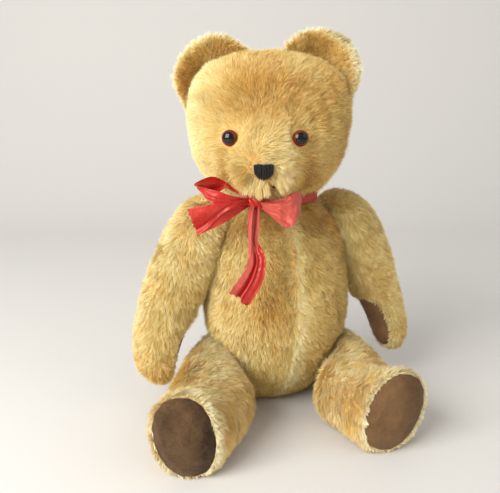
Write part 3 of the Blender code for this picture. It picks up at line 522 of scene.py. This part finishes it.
def fur(name, node, body, centre_line, comb, count, seed,
        wide=0.00066, tuft=0.0032, pull=None, fleck=1.5, swirl=0.8):
    """A cover with its pile. Comb gives each root's lie, length, lift, tone and chance of a golden strand."""
    rng = np.random.default_rng(seed)
    points, faces, normals = surface(node)
    outer = outside_faces(points, faces, centre_line)
    a, b, c = points[outer[:, 0]], points[outer[:, 1]], points[outer[:, 2]]
    area = np.linalg.norm(np.cross(b - a, c - a), axis=1) / 2
    pick = rng.choice(len(outer), size=count, p=area / area.sum())
    r1, r2 = np.sqrt(rng.random(count)), rng.random(count)
    w = np.stack([1 - r1, r1 * (1 - r2), r1 * r2], axis=1)
    tri = outer[pick]
    root = (points[tri] * w[..., None]).sum(axis=1)
    normal = unit((normals[tri] * w[..., None]).sum(axis=1))

    lie, length, lift, tone, gold = comb(root, normal)
    turn = 0.70 * noise(root, 0.030, seed + 1) + swirl * noise(root, 0.009, seed + 2)
    turn = turn + rng.normal(0, 0.25, count)
    lift = lift + 0.14 * noise(root, 0.009, seed + 6) + np.abs(rng.normal(0, 0.15, count))
    lift = lift + np.where(rng.random(count) < 0.22, 0.55 * rng.random(count), 0)
    lift = np.minimum(lift, 1.4)
    lie = unit(lie - normal * (lie * normal).sum(axis=1, keepdims=True))
    side = np.cross(normal, lie)
    lie = lie * np.cos(turn)[:, None] + side * np.sin(turn)[:, None]
    side = np.cross(normal, lie)

    length = length * (1 + 0.15 * noise(root, 0.010, seed + 3) + rng.normal(0, 0.10, count))
    tree = clearance_tree(node)
    room = np.full(count, OPEN)
    for k in range(count):
        hit = tree.ray_cast(Vector(root[k] + normal[k] * PROBE_START), Vector(normal[k]), PROBE_REACH)
        if hit[0] is not None:
            room[k] = hit[3]
    keep = (room > LEAST_ROOM) & (length > 0.0004)
    low, high = BOW_BOX
    close = ((root > low - 0.014) & (root < high + 0.014)).all(axis=1)
    height = length * np.sin(lift)
    fits = np.clip(np.where(room < TIGHT_ROOM, 0.4, 0.7) * room / np.maximum(height, 1e-5), 0.02, 1.0)
    squeeze = np.where(room < OPEN, fits, 1.0)
    run = lie * np.cos(lift)[:, None] + normal * (np.sin(lift) * squeeze)[:, None]
    run[:, 2] -= 0.06
    for k in np.flatnonzero(close & keep):
        start = Vector(root[k] + normal[k] * PROBE_START)
        reach = tree.ray_cast(start, Vector(run[k]).normalized(), length[k] * 1.3)[3]
        if reach is not None:
            length[k] = reach * 0.7
            keep[k] = reach > 0.002
    tip = root + run * length[:, None]

    # Strands lean to the tip of their tuft's own guide strand
    pull = pull or even_pull
    guides = rng.choice(count, size=max(40, int(area.sum() / tuft ** 2)), replace=False)
    kd = KDTree(len(guides))
    for k, g in enumerate(guides):
        kd.insert(Vector(root[g]), k)
    kd.balance()
    own = np.array([guides[kd.find(Vector(p))[1]] for p in root])
    apart = np.linalg.norm(root - root[own], axis=1)
    drawn = np.where(apart < 0.006, pull(root), 0.0)[:, None] * (0.6 + 0.8 * rng.random(count))[:, None]
    tip = tip + (tip[own] - tip) * drawn

    grain = tone + 0.50 * noise(root, 0.0050, seed + 4) + 0.55 * noise(root, 0.024, seed + 5)
    grain = grain + fleck * (rng.random(count)[own] - 0.5) + rng.normal(0, 0.75, count)
    shade = np.clip(np.round(grain), 0, BLOND - 1).astype(int)
    golden = BLOND + np.clip(np.round(grain - 1.2), 0, len(TONES) - BLOND - 1).astype(int)
    shade = np.where(rng.random(count) < gold + 0.35 * noise(root, 0.018, seed + 7), golden, shade)

    twist = rng.normal(0, 0.4, count)
    spread = (side * np.cos(twist)[:, None] + normal * np.sin(twist)[:, None]) * (wide / 2)
    spread = spread * (0.7 + 0.6 * rng.random(count))[:, None]

    root, tip, spread, shade = (x[keep] for x in (root, tip, spread, shade))
    total = len(root)
    sunk = root - normal[keep] * 0.0004
    hair = np.stack([sunk - spread, sunk + spread, tip], axis=1).reshape(-1, 3)
    rest = np.repeat(0.0005 * rng.random(total) - 0.0006, 3)
    hair[:, 2] = np.maximum(hair[:, 2], rest)

    first = len(points)
    start = first + 3 * np.arange(total)
    tris = np.stack([start, start + 1, start + 2], axis=1)
    mesh = bpy.data.meshes.new(name)
    all_points = np.concatenate([points, hair])
    mesh.vertices.add(len(all_points))
    mesh.vertices.foreach_set("co", all_points.astype(np.float32).ravel())
    corners = np.concatenate([faces.ravel(), tris.ravel()])
    count_faces = len(faces) + total
    mesh.loops.add(len(corners))
    mesh.loops.foreach_set("vertex_index", corners.astype(np.int32))
    mesh.polygons.add(count_faces)
    mesh.polygons.foreach_set("loop_start", (3 * np.arange(count_faces)).astype(np.int32))
    for made in [cloth_material] + fur_materials:
        mesh.materials.append(made)
    slots = np.concatenate([np.zeros(len(faces), int), shade + 1])
    mesh.polygons.foreach_set("material_index", slots.astype(np.int32))
    mesh.update(calc_edges=True)
    mesh.validate()
    mesh.shade_smooth()
    obj = link(name, mesh)
    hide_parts(node)
    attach(obj, body)
    return obj


# How each part's fur lies
AWAY = np.array([0.72, 0.43, -0.55])
HEAD_YAW = math.radians(-20)
HEAD_AT = np.array([-0.008, 0.0, 0.0])
TURN = np.array([
    [math.cos(HEAD_YAW), -math.sin(HEAD_YAW), 0],
    [math.sin(HEAD_YAW), math.cos(HEAD_YAW), 0],
    [0, 0, 1],
])
EYE_RADIUS = 0.0080


def eye_seat(word, side):
    """Which way an eye looks, and the middle of its dome."""
    look = Vector(TURN @ np.array([side * 0.20, -0.97, 0.05])).normalized()
    apex = max((v.co for v in NODES[f"{word}_eye"].data.vertices), key=lambda p: p.dot(look))
    return look, apex.copy(), apex - look * (EYE_RADIUS * 0.78)


EYES = [np.array(eye_seat(word, side)[2]) for word, side in (("left", 1), ("right", -1))]
NOSE = np.array(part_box("nose_stitches")).mean(axis=0)
MOUTH = np.array(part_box("mouth_stitch")).mean(axis=0)


def head_comb(p, n):
    local = (p - HEAD_AT) @ TURN
    away = local - ((NOSE - HEAD_AT) @ TURN + np.array([0.0, 0.014, 0.0]))
    spread = unit(away) + 0.5 * AWAY
    down = np.tile(np.array([0.0, 0.25, -1.0]), (len(p), 1))
    back = ease(local[:, 1], -0.02, 0.08)[:, None]
    lie = spread * (1 - back) + down * back
    below = ease(0.270 - local[:, 2], 0.0, 0.012)[:, None]
    part = np.stack([0.7 * np.sign(local[:, 0]), np.full(len(p), -0.1), np.full(len(p), -1.0)], axis=1)
    muzzle = ease(-local[:, 1], 0.085, 0.10)[:, None] * below
    lie = lie * (1 - muzzle) + part * muzzle
    length = np.full(len(p), 0.0092)
    front = ease(-local[:, 1], 0.0, 0.03)
    tone = np.full(len(p), 3.7)
    # Golden on the forehead, paler on the muzzle and the chin. Painted light and shade: the window side of the head is
    # painted paler, the far side darker and more golden.
    tone -= 1.1 * np.exp(-((local[:, 0] / 0.050) ** 2 + ((local[:, 2] - 0.346) / 0.030) ** 2)) * front
    tone += 1.3 * ease(-local[:, 0], 0.040, 0.085)
    tone -= 0.9 * ease(local[:, 0], 0.045, 0.085) * front
    tone += 0.8 * ease(-local[:, 1], 0.085, 0.11) * ease(local[:, 2], 0.235, 0.255)
    # Painted shade: darker, more golden fur in the hollow on the far side of the muzzle and in the crease on its window
    # side.
    hollow = np.exp(-(((local[:, 0] - 0.037) / 0.012) ** 2 + ((local[:, 2] - 0.268) / 0.020) ** 2)) * front
    crease = np.exp(-(((local[:, 0] + 0.036) / 0.007) ** 2 + ((local[:, 2] - 0.276) / 0.018) ** 2)) * front
    tone -= 1.9 * hollow + 1.2 * crease
    # Painted highlight: a paler streak on the muzzle's edge beside the shaded hollow.
    tone += 1.4 * np.exp(-(((local[:, 0] - 0.022) / 0.006) ** 2 + ((local[:, 2] - 0.280) / 0.014) ** 2)) * front
    eye_gap = np.minimum(*[np.linalg.norm(p - e, axis=1) for e in EYES])
    length *= 0.14 + 0.86 * ease(eye_gap, 0.0095, 0.021)
    length[eye_gap < 0.0088] = 0
    nose_gap = np.linalg.norm((p - NOSE) * np.array([1, 1, 1.15]), axis=1)
    length *= 0.12 + 0.88 * ease(nose_gap, 0.0090, 0.022)
    length[nose_gap < 0.0085] = 0
    mouth_gap = np.linalg.norm(p - MOUTH, axis=1)
    length *= 0.15 + 0.85 * ease(mouth_gap, 0.0040, 0.0130)
    length[mouth_gap < 0.0034] = 0
    above = local - (MOUTH - HEAD_AT) @ TURN
    length[(np.abs(above[:, 0]) < 0.0028) & (above[:, 2] > -0.002) & (above[:, 2] < 0.010)] *= 0.15
    lift = np.full(len(p), math.radians(28)) - 0.2 * (1 - ease(eye_gap, 0.008, 0.022))
    chin = ease(0.262 - local[:, 2], 0.0, 0.006) * ease(-local[:, 1], 0.085, 0.10)
    under = ease(-n[:, 2], 0.1, 0.7) * ease(-local[:, 1], 0.055, 0.075)
    under *= ease(0.032 - np.abs(local[:, 0] - 0.004), 0.0, 0.014)
    tone += 2.4 * chin + 1.2 * under
    length *= 1 + 0.5 * np.maximum(chin * ease(0.036 - np.abs(local[:, 0] - 0.004), 0.0, 0.014), under)
    lift += 0.45 * chin + 0.8 * under
    gold = 0.25 + 0.65 * np.exp(-((local[:, 0] / 0.055) ** 2 + ((local[:, 2] - 0.345) / 0.032) ** 2)) * front
    # Painted shade: more golden strands on the side away from the window, fewer on the window side.
    gold += 0.35 * ease(local[:, 0], 0.03, 0.07) * front - 0.3 * ease(-local[:, 0], 0.03, 0.07)
    # Painted shade in the hollow and the crease, as more golden strands.
    gold += 0.6 * hollow + 0.4 * crease
    return lie @ TURN.T, length, lift, tone, gold


def torso_comb(p, n):
    across = p[:, 0] + 0.0012 * np.sin(p[:, 2] * 95) + 0.0008 * np.sin(p[:, 2] * 230)
    side = np.clip(across / 0.004, -1, 1)
    front = (p[:, 1] < 0)
    seam = np.exp(-(across / 0.0022) ** 2) * front
    near = np.exp(-(across / 0.010) ** 2) * front
    lie = np.stack([side * 0.9 * near + 0.35 * (1 - near), np.full(len(p), 0.30), np.full(len(p), -1.0)], axis=1)
    band = np.exp(-((across - 0.003) / 0.007) ** 2) * front
    worn = np.exp(-(((p[:, 0] + 0.030) / 0.022) ** 2 + ((p[:, 2] - 0.135) / 0.028) ** 2))
    length = 0.0079 - 0.0018 * seam
    tone = np.full(len(p), 3.1)
    tone += 1.7 * band + 0.9 * seam
    # Painted light and shade: paler on the window side, darker on the far front.
    tone += 0.9 * ease(-p[:, 0], 0.02, 0.07)
    tone -= 0.6 * ease(p[:, 0], 0.02, 0.07) * front
    tone -= 0.8 * worn * front
    # Painted shade: darker towards the floor and under the bow.
    tone -= 0.5 * ease(0.045 - p[:, 2], 0.0, 0.03)
    tone -= 0.3 * ease(p[:, 2], 0.19, 0.22)
    length *= 0.55 + 0.45 * ease(p[:, 2], 0.0, 0.03)
    lift = np.full(len(p), math.radians(26)) + 0.5 * seam
    # Painted shade: more golden strands under the bow and on the far front.
    gold = 0.20 - 0.5 * band + 0.4 * ease(p[:, 2], 0.19, 0.22) + 0.3 * ease(p[:, 0], 0.02, 0.07) * front
    gold += 0.6 * worn * front
    return lie, length, lift, tone, gold


def limb_comb(start, end, base_tone, pads, rise, golden, sweep, short, toward=-1.0):
    """Fur that lies down a limb and stands out around its pads, with the side that faces the window paler."""
    start, end = np.array(start), np.array(end)
    run = end - start
    run = run / np.linalg.norm(run)
    rims = [tree_of(*surface(pad)[:2]) for pad in pads]

    def comb(p, n):
        lie = np.tile(run, (len(p), 1)) + sweep * AWAY
        length = 0.0088 * (0.55 + 0.45 * ease(p[:, 2], 0.0, 0.022))
        tone = np.full(len(p), base_tone)
        # Painted shade: darker low down, towards the floor.
        tone -= 0.8 * ease(0.030 - p[:, 2], 0.0, 0.03)
        tone += 0.7 * ease(n[:, 0] * toward, 0.2, 0.9)
        lift = np.full(len(p), math.radians(rise))
        gap = np.full(len(p), 1.0)
        for rim in rims:
            found = [rim.find_nearest(Vector(q), 0.02)[3] for q in p]
            gap = np.minimum(gap, [1.0 if g is None else g for g in found])
        near = 1 - ease(gap, 0.001, 0.009)
        lift = lift + near * math.radians(44)
        length = length * (1 - short * near)
        tone = tone + 1.6 * near
        # Painted shade: more golden strands low on the limb, and on the arms darker fur low down, away from the pad
        # rims.
        gold = golden + 0.5 * ease(0.09 - p[:, 2], 0.0, 0.05) * (1 - near) - 0.3 * near
        tone = tone - 1.3 * ease(0.11 - p[:, 2], 0.0, 0.06) * (1 - near) * (rise > 22)
        return lie, length, lift, tone, gold

    return comb


def ear_comb(centre, up, ahead, lobe_painted_light):
    centre, up, ahead = np.array(centre), np.array(up), np.array(ahead)
    across = np.cross(up, ahead)

    def comb(p, n):
        away = p - centre
        flat = away - np.outer(away @ ahead, ahead)
        rim = np.linalg.norm(flat, axis=1)
        facing = n @ ahead
        inner = ease(facing, 0.2, 0.6)
        edge_part = 1 - ease(np.abs(facing), 0.25, 0.75)
        lie = unit(flat) + 0.2 * up + 0.9 * AWAY
        length = 0.0082 - 0.0024 * inner + 0.0026 * edge_part
        border = ease(rim / rim.max(), 0.80, 0.97)
        tone = 3.4 - 0.7 * inner + 2.4 * edge_part * ease(rim / rim.max(), 0.6, 0.9)
        # Painted light: the whole ear a little paler, and its inner face paler towards one lobe, by this ear's own
        # amount; the left ear gets the most.
        tone += 1.6 * inner * border + 0.3 * (lobe_painted_light - 0.2)
        beside = (p - centre) @ across
        tone += lobe_painted_light * inner * ease(beside, -0.004, 0.016)
        # Painted shade: darker fur in the cup of the ear.
        hollow = np.exp(-(((beside + 0.010) / 0.010) ** 2 + ((p - centre) @ up / 0.022 - 0.8) ** 2))
        tone -= 1.2 * hollow * inner
        gold = 0.25 + 0.55 * inner - 0.6 * edge_part - 0.7 * border
        return lie, length, np.full(len(p), math.radians(36)) - 0.1 * inner, tone, gold

    return comb


fur("torso_plush", "torso_cover", "torso", upright_line(-0.002, 0.0), torso_comb, 172000, 101)
fur("head_plush", "head_cover", "head", upright_line(-0.008, 0.0), head_comb, 172000, 202, tuft=0.0029,
    pull=chin_pull, fleck=1.0, swirl=0.95)
for word, side, arm_end, leg_end, seed in (
    ("left", 1, (0.133, 0.003, 0.040), (0.090, -0.165, 0.045), 300),
    ("right", -1, (-0.135, 0.003, 0.030), (-0.130, -0.155, 0.045), 400),
):
    shoulder = (side * 0.075, 0.003, 0.212)
    hip = (side * 0.068, 0.0, 0.040)
    fur(f"{word}_arm_plush", f"{word}_arm_cover", f"{word}_arm", limb_line(shoulder, arm_end),
        limb_comb(shoulder, arm_end, 3.8, [f"{word}_paw_pad"], 24, 0.15, 0.9, 0.60), 82000, seed,
        fleck=2.0)
    fur(f"{word}_leg_plush", f"{word}_leg_cover", f"{word}_leg", limb_line(hip, leg_end),
        limb_comb(hip, leg_end, 5.4, [f"{word}_foot_pad"], 16, 0.20, 1.3, 0.42), 103000, seed + 20,
        fleck=2.0)
    low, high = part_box(f"{word}_ear")
    middle = [(low[k] + high[k]) / 2 for k in range(3)]
    lean = math.radians(31 if side > 0 else 38)
    up = TURN @ np.array([side * math.sin(lean), 0, math.cos(lean)])
    ahead = TURN @ np.array([0.0, -1.0, 0.0])
    base = np.array(middle) - up * 0.018
    ear = ear_comb(base, up, ahead, 2.6 if side > 0 else 0.2)
    fur(f"{word}_ear_plush", f"{word}_ear", "head", lambda p, m=Vector(middle): m, ear,
        28000, seed + 40, tuft=0.0026)


# Pads: the frame's own solids, rounded at the rim, with a slack and worn nap
def softened(node, cell, rounds):
    """A node's solid as an even mesh with its edges rounded off."""
    work = link(f"{node}_work", NODES[node].data.copy())
    grid = work.modifiers.new("grid", "REMESH")
    grid.mode = "VOXEL"
    grid.voxel_size = cell
    ease_off = work.modifiers.new("ease", "SMOOTH")
    ease_off.factor = 0.5
    ease_off.iterations = rounds
    graph = bpy.context.evaluated_depsgraph_get()
    mesh = bpy.data.meshes.new_from_object(work.evaluated_get(graph))
    bpy.data.objects.remove(work)
    return mesh


pad_material = material("velveteen", (118, 84, 58), 0.9, Specular_IOR_Level=0.2, Sheen_Weight=0.08, Sheen_Roughness=0.5)
shade_node = pad_material.node_tree.nodes.new("ShaderNodeVertexColor")
shade_node.layer_name = "nap"
pad_material.node_tree.links.new(
    shade_node.outputs["Color"], pad_material.node_tree.nodes["Principled BSDF"].inputs["Base Color"]
)
grained(pad_material, 0.0007, 0.00022, 0.08)
# Worn and deep colours of each pad's nap
NAPS = {
    "left_foot": ((136, 103, 68), (94, 68, 43)),
    "right_foot": ((112, 84, 56), (50, 35, 23)),
    "left_paw": ((158, 118, 86), (108, 78, 56)),
    "right_paw": ((124, 92, 64), (82, 58, 40)),
}
for word in ("left", "right"):
    for kind, body in (("foot", "leg"), ("paw", "arm")):
        node = f"{word}_{kind}_pad"
        seed = 500 + 7 * len(word) + len(kind)
        mesh = softened(node, 0.0010, 4)
        count = len(mesh.vertices)
        flat = np.zeros(3 * count, dtype=np.float32)
        mesh.vertices.foreach_get("co", flat)
        place = flat.reshape(-1, 3).astype(float)
        out = np.zeros(3 * count, dtype=np.float32)
        mesh.vertex_normals.foreach_get("vector", out)
        out = out.reshape(-1, 3).astype(float)
        swell = 0.00028 * noise(place, 0.014, seed) + 0.00012 * noise(place, 0.004, seed + 1) - 0.00015
        place = place + out * swell[:, None]
        place[:, 2] = np.maximum(place[:, 2], 0.0003)
        mesh.vertices.foreach_set("co", place.astype(np.float32).ravel())
        middle = place.mean(axis=0)
        reach = place - middle
        nap_mix = 0.52 + 0.24 * noise(place, 0.022, seed + 2) + 0.13 * noise(place, 0.007, seed + 3)
        # The nap also darkens towards +x on every pad.
        nap_mix += 0.16 * noise(place, 0.0018, seed + 4) - 0.30 * ease(reach[:, 0], 0.002, 0.022)
        nap_mix = np.clip(nap_mix, 0, 1)[:, None]
        pale, deep = (np.array(linear(rgb)) for rgb in NAPS[f"{word}_{kind}"])
        nap = mesh.color_attributes.new("nap", "FLOAT_COLOR", "POINT")
        paint = np.concatenate([deep * (1 - nap_mix) + pale * nap_mix, np.ones((count, 1))], axis=1)
        nap.data.foreach_set("color", paint.astype(np.float32).ravel())
        mesh.materials.clear()
        mesh.materials.append(pad_material)
        mesh.shade_smooth()
        soft = link(f"{node}_nap", mesh)
        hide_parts(node)
        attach(soft, f"{word}_{body}")

# Eyes
pupil = material("pupil", (7, 4, 4), 0.05, Specular_IOR_Level=0.5)
iris = material("iris", (112, 42, 24), 0.08, Specular_IOR_Level=0.42)
for word, side in (("left", 1), ("right", -1)):
    look, apex, seat = eye_seat(word, side)
    across = look.cross(Vector((0, 0, 1))).normalized()
    upward = across.cross(look)
    rings, around = 20, 48
    points = [tuple(apex)]
    faces = []
    for ring in range(1, rings + 1):
        bend = math.pi / 2 * ring / rings * 1.12
        reach = EYE_RADIUS * math.sin(bend)
        rise = EYE_RADIUS * 0.78 * math.cos(bend)
        for k in range(around):
            angle = 2 * math.pi * k / around
            points.append(tuple(
                seat + look * rise + across * (reach * math.cos(angle)) + upward * (reach * math.sin(angle))
            ))
    faces += [(0, 1 + k, 1 + (k + 1) % around) for k in range(around)]
    for ring in range(rings - 1):
        for k in range(around):
            a, b = 1 + ring * around + k, 1 + ring * around + (k + 1) % around
            faces.append((a, a + around, b + around, b))
    faces.append(tuple(1 + (rings - 1) * around + k for k in range(around)))
    eye_mesh = bpy.data.meshes.new(f"{word}_bead")
    eye_mesh.from_pydata(points, [], faces)
    eye_mesh.materials.append(pupil)
    eye_mesh.materials.append(iris)
    for face in eye_mesh.polygons:
        reach = (Vector(face.center) - seat)
        reach = (reach - look * reach.dot(look)).length
        face.material_index = 0 if reach < EYE_RADIUS * 0.70 else 1
    eye_mesh.shade_smooth()
    bead = link(f"{word}_eye_bead", eye_mesh)
    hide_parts(f"{word}_eye")
    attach(bead, "head")

# Nose and mouth, in black thread
thread = material("black_thread", (20, 20, 22), 0.48, Specular_IOR_Level=0.5)
grained(thread, 0.0004, 0.00010, 0.12)


def strand(path, across, wide, tall, around=8):
    """Points and faces of one thread along a path. Across is its side-to-side direction."""
    points, faces = [], []
    rows = len(path)
    for k, spot in enumerate(path):
        ahead = path[min(k + 1, rows - 1)] - path[max(k - 1, 0)]
        ahead = ahead / np.linalg.norm(ahead)
        rise = np.cross(ahead, across)
        rise = rise / np.linalg.norm(rise)
        slim = min(1.0, 0.45 + 0.55 * min(k, rows - 1 - k))
        for j in range(around):
            angle = 2 * math.pi * j / around
            sideways = across * (math.cos(angle) * wide / 2 * slim)
            points.append(spot + sideways + rise * (math.sin(angle) * tall / 2 * slim))
    for k in range(rows - 1):
        for j in range(around):
            n = (j + 1) % around
            faces.append((k * around + j, k * around + n, (k + 1) * around + n, (k + 1) * around + j))
    faces.append(tuple(reversed(range(around))))
    faces.append(tuple((rows - 1) * around + j for j in range(around)))
    return points, faces


def stitch_mesh(node, paths, wide, tall, across):
    """A node's rounded solid with threads laid over it, as one mesh."""
    base = softened(node, 0.0004, 4)
    points = [np.array(v.co) for v in base.vertices]
    faces = [tuple(f.vertices) for f in base.polygons]
    for path in paths:
        more, joined = strand(path, across, wide, tall)
        faces += [tuple(len(points) + i for i in face) for face in joined]
        points += more
    mesh = bpy.data.meshes.new(f"{node}_thread")
    mesh.from_pydata([tuple(p) for p in points], [], faces)
    mesh.materials.append(thread)
    mesh.shade_smooth()
    obj = link(f"{node}_thread", mesh)
    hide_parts(node)
    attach(obj, "head")
    return obj


def on_front(tree, x, z):
    """The place on a stitched solid's front at this place in the head's own X and Z."""
    start = TURN @ np.array([x, -0.20, z]) + HEAD_AT
    ahead = TURN @ np.array([0.0, 1.0, 0.0])
    hit = tree.ray_cast(Vector(start), Vector(ahead), 0.3)[0]
    return None if hit is None else np.array(hit)


across = TURN @ np.array([1.0, 0.0, 0.0])
ahead = TURN @ np.array([0.0, 1.0, 0.0])
points, faces, _ = surface("nose_stitches")
tree = tree_of(points, faces)
local = (points - HEAD_AT) @ TURN
low, high = local.min(axis=0), local.max(axis=0)
middle = (low[0] + high[0]) / 2
rng = np.random.default_rng(77)
paths = []
THREADS = 14
for k in range(THREADS):
    share = (k + 0.5) / THREADS * 2 - 1
    path = []
    for z in np.linspace(high[2] + 0.001, low[2] - 0.001, 40):
        drop = (high[2] - z) / (high[2] - low[2])
        x = middle + share * (high[0] - low[0]) / 2 * (1.0 - 0.16 * drop ** 2) * 0.98
        spot = on_front(tree, x, z)
        if spot is not None:
            path.append(spot - ahead * 0.0003)
    if len(path) < 6:
        continue
    path = [path[int(i)] for i in np.linspace(0, len(path) - 1, 9)]
    shift, proud = rng.normal(0, 0.00020), 0.0006 * rng.random()
    path = [
        spot + across * (shift + rng.normal(0, 0.00016)) - ahead * (proud + 0.0004 * rng.random()) for spot in path
    ]
    path[0] = path[0] + ahead * 0.0004 + np.array([0, 0, 0.0016 * rng.random() - 0.0003])
    path[-1] = path[-1] + ahead * 0.0004 - np.array([0, 0, 0.0014 * rng.random()])
    paths.append(path)
stitch_mesh("nose_stitches", paths, 0.00135, 0.0014, across)

points, faces, _ = surface("mouth_stitch")
tree = tree_of(points, faces)
local = (points - HEAD_AT) @ TURN
low, high = local.min(axis=0), local.max(axis=0)
path = []
for share in np.linspace(0.08, 0.92, 30):
    x, z = low[0] + (high[0] - low[0]) * share, high[2] + (low[2] - high[2]) * share
    spot = on_front(tree, x, z)
    if spot is not None:
        path.append(spot - ahead * 0.0002)
path = [path[int(i)] for i in np.linspace(0, len(path) - 1, 7)] if len(path) > 6 else []
slant = (across + TURN @ np.array([0.0, 0.0, 1.0])) / 2 ** 0.5
stitch_mesh("mouth_stitch", [path] if path else [], 0.0010, 0.0008, slant)

# Floor, backdrop, light and camera
studio = material("studio", (236, 234, 230), 0.95)
sweep_points = []
sweep_faces = []
# The floor lies just under the fur, and curves up into the backdrop
FLOOR_Z = -0.0008
CURVE_FROM = 0.9
CURVE = 0.5
HALF_WIDE = 3.0
profile = [(-3.0, FLOOR_Z), (CURVE_FROM, FLOOR_Z)]
for k in range(1, 13):
    angle = math.pi / 2 * k / 12
    profile.append((CURVE_FROM + CURVE * math.sin(angle), CURVE + FLOOR_Z - CURVE * math.cos(angle)))
profile.append((1.4, 3.0))
for y, z in profile:
    for x in (-HALF_WIDE, HALF_WIDE):
        turned = Vector((x, y, z))
        turned.rotate(Matrix.Rotation(-YAW, 3, "Z"))
        sweep_points.append(tuple(turned))
for k in range(len(profile) - 1):
    a = 2 * k
    sweep_faces.append((a, a + 1, a + 3, a + 2))
sweep_mesh = bpy.data.meshes.new("studio_sweep")
sweep_mesh.from_pydata(sweep_points, [], sweep_faces)
sweep_mesh.shade_smooth()
sweep_mesh.materials.append(studio)
sweep = link("studio_sweep", sweep_mesh)


def soft_light(name, at, aim, size, power, colour=(1, 1, 1)):
    data = bpy.data.lights.new(name, "AREA")
    data.shape = "RECTANGLE"
    data.size, data.size_y = size
    data.energy = power
    data.color = colour
    lamp = bpy.data.objects.new(name, data)
    lamp.location = at
    lamp.rotation_euler = (Vector(aim) - Vector(at)).to_track_quat("-Z", "Y").to_euler()
    bpy.context.scene.collection.objects.link(lamp)
    return lamp


soft_light("window", (-1.25, -0.75, 0.95), (0, 0, 0.2), (1.1, 1.1), 29, (1.0, 0.985, 0.96))
soft_light("room", (1.3, -1.3, 1.2), (0, 0, 0.2), (1.4, 1.4), 3.5, (1.0, 0.97, 0.93))
world = bpy.data.worlds.new("world")
world.use_nodes = True
world.node_tree.nodes["Background"].inputs["Color"].default_value = (1.0, 0.99, 0.97, 1)
world.node_tree.nodes["Background"].inputs["Strength"].default_value = 0.49
bpy.context.scene.world = world

lens = bpy.data.cameras.new("camera")
lens.lens = FOCAL * 36.0 / 500.0
lens.sensor_width = 36.0
lens.clip_start = 0.01
camera = bpy.data.objects.new("camera", lens)
camera.location = CAMERA_AT
camera.rotation_euler = Vector(
    (math.cos(PITCH) * math.sin(YAW), math.cos(PITCH) * math.cos(YAW), -math.sin(PITCH))
).to_track_quat("-Z", "Y").to_euler()
bpy.context.scene.collection.objects.link(camera)
scene = bpy.context.scene
scene.camera = camera
scene.render.resolution_x = 500
scene.render.resolution_y = 493
scene.render.resolution_percentage = 100
scene.view_settings.view_transform = "Standard"

write_sizes()
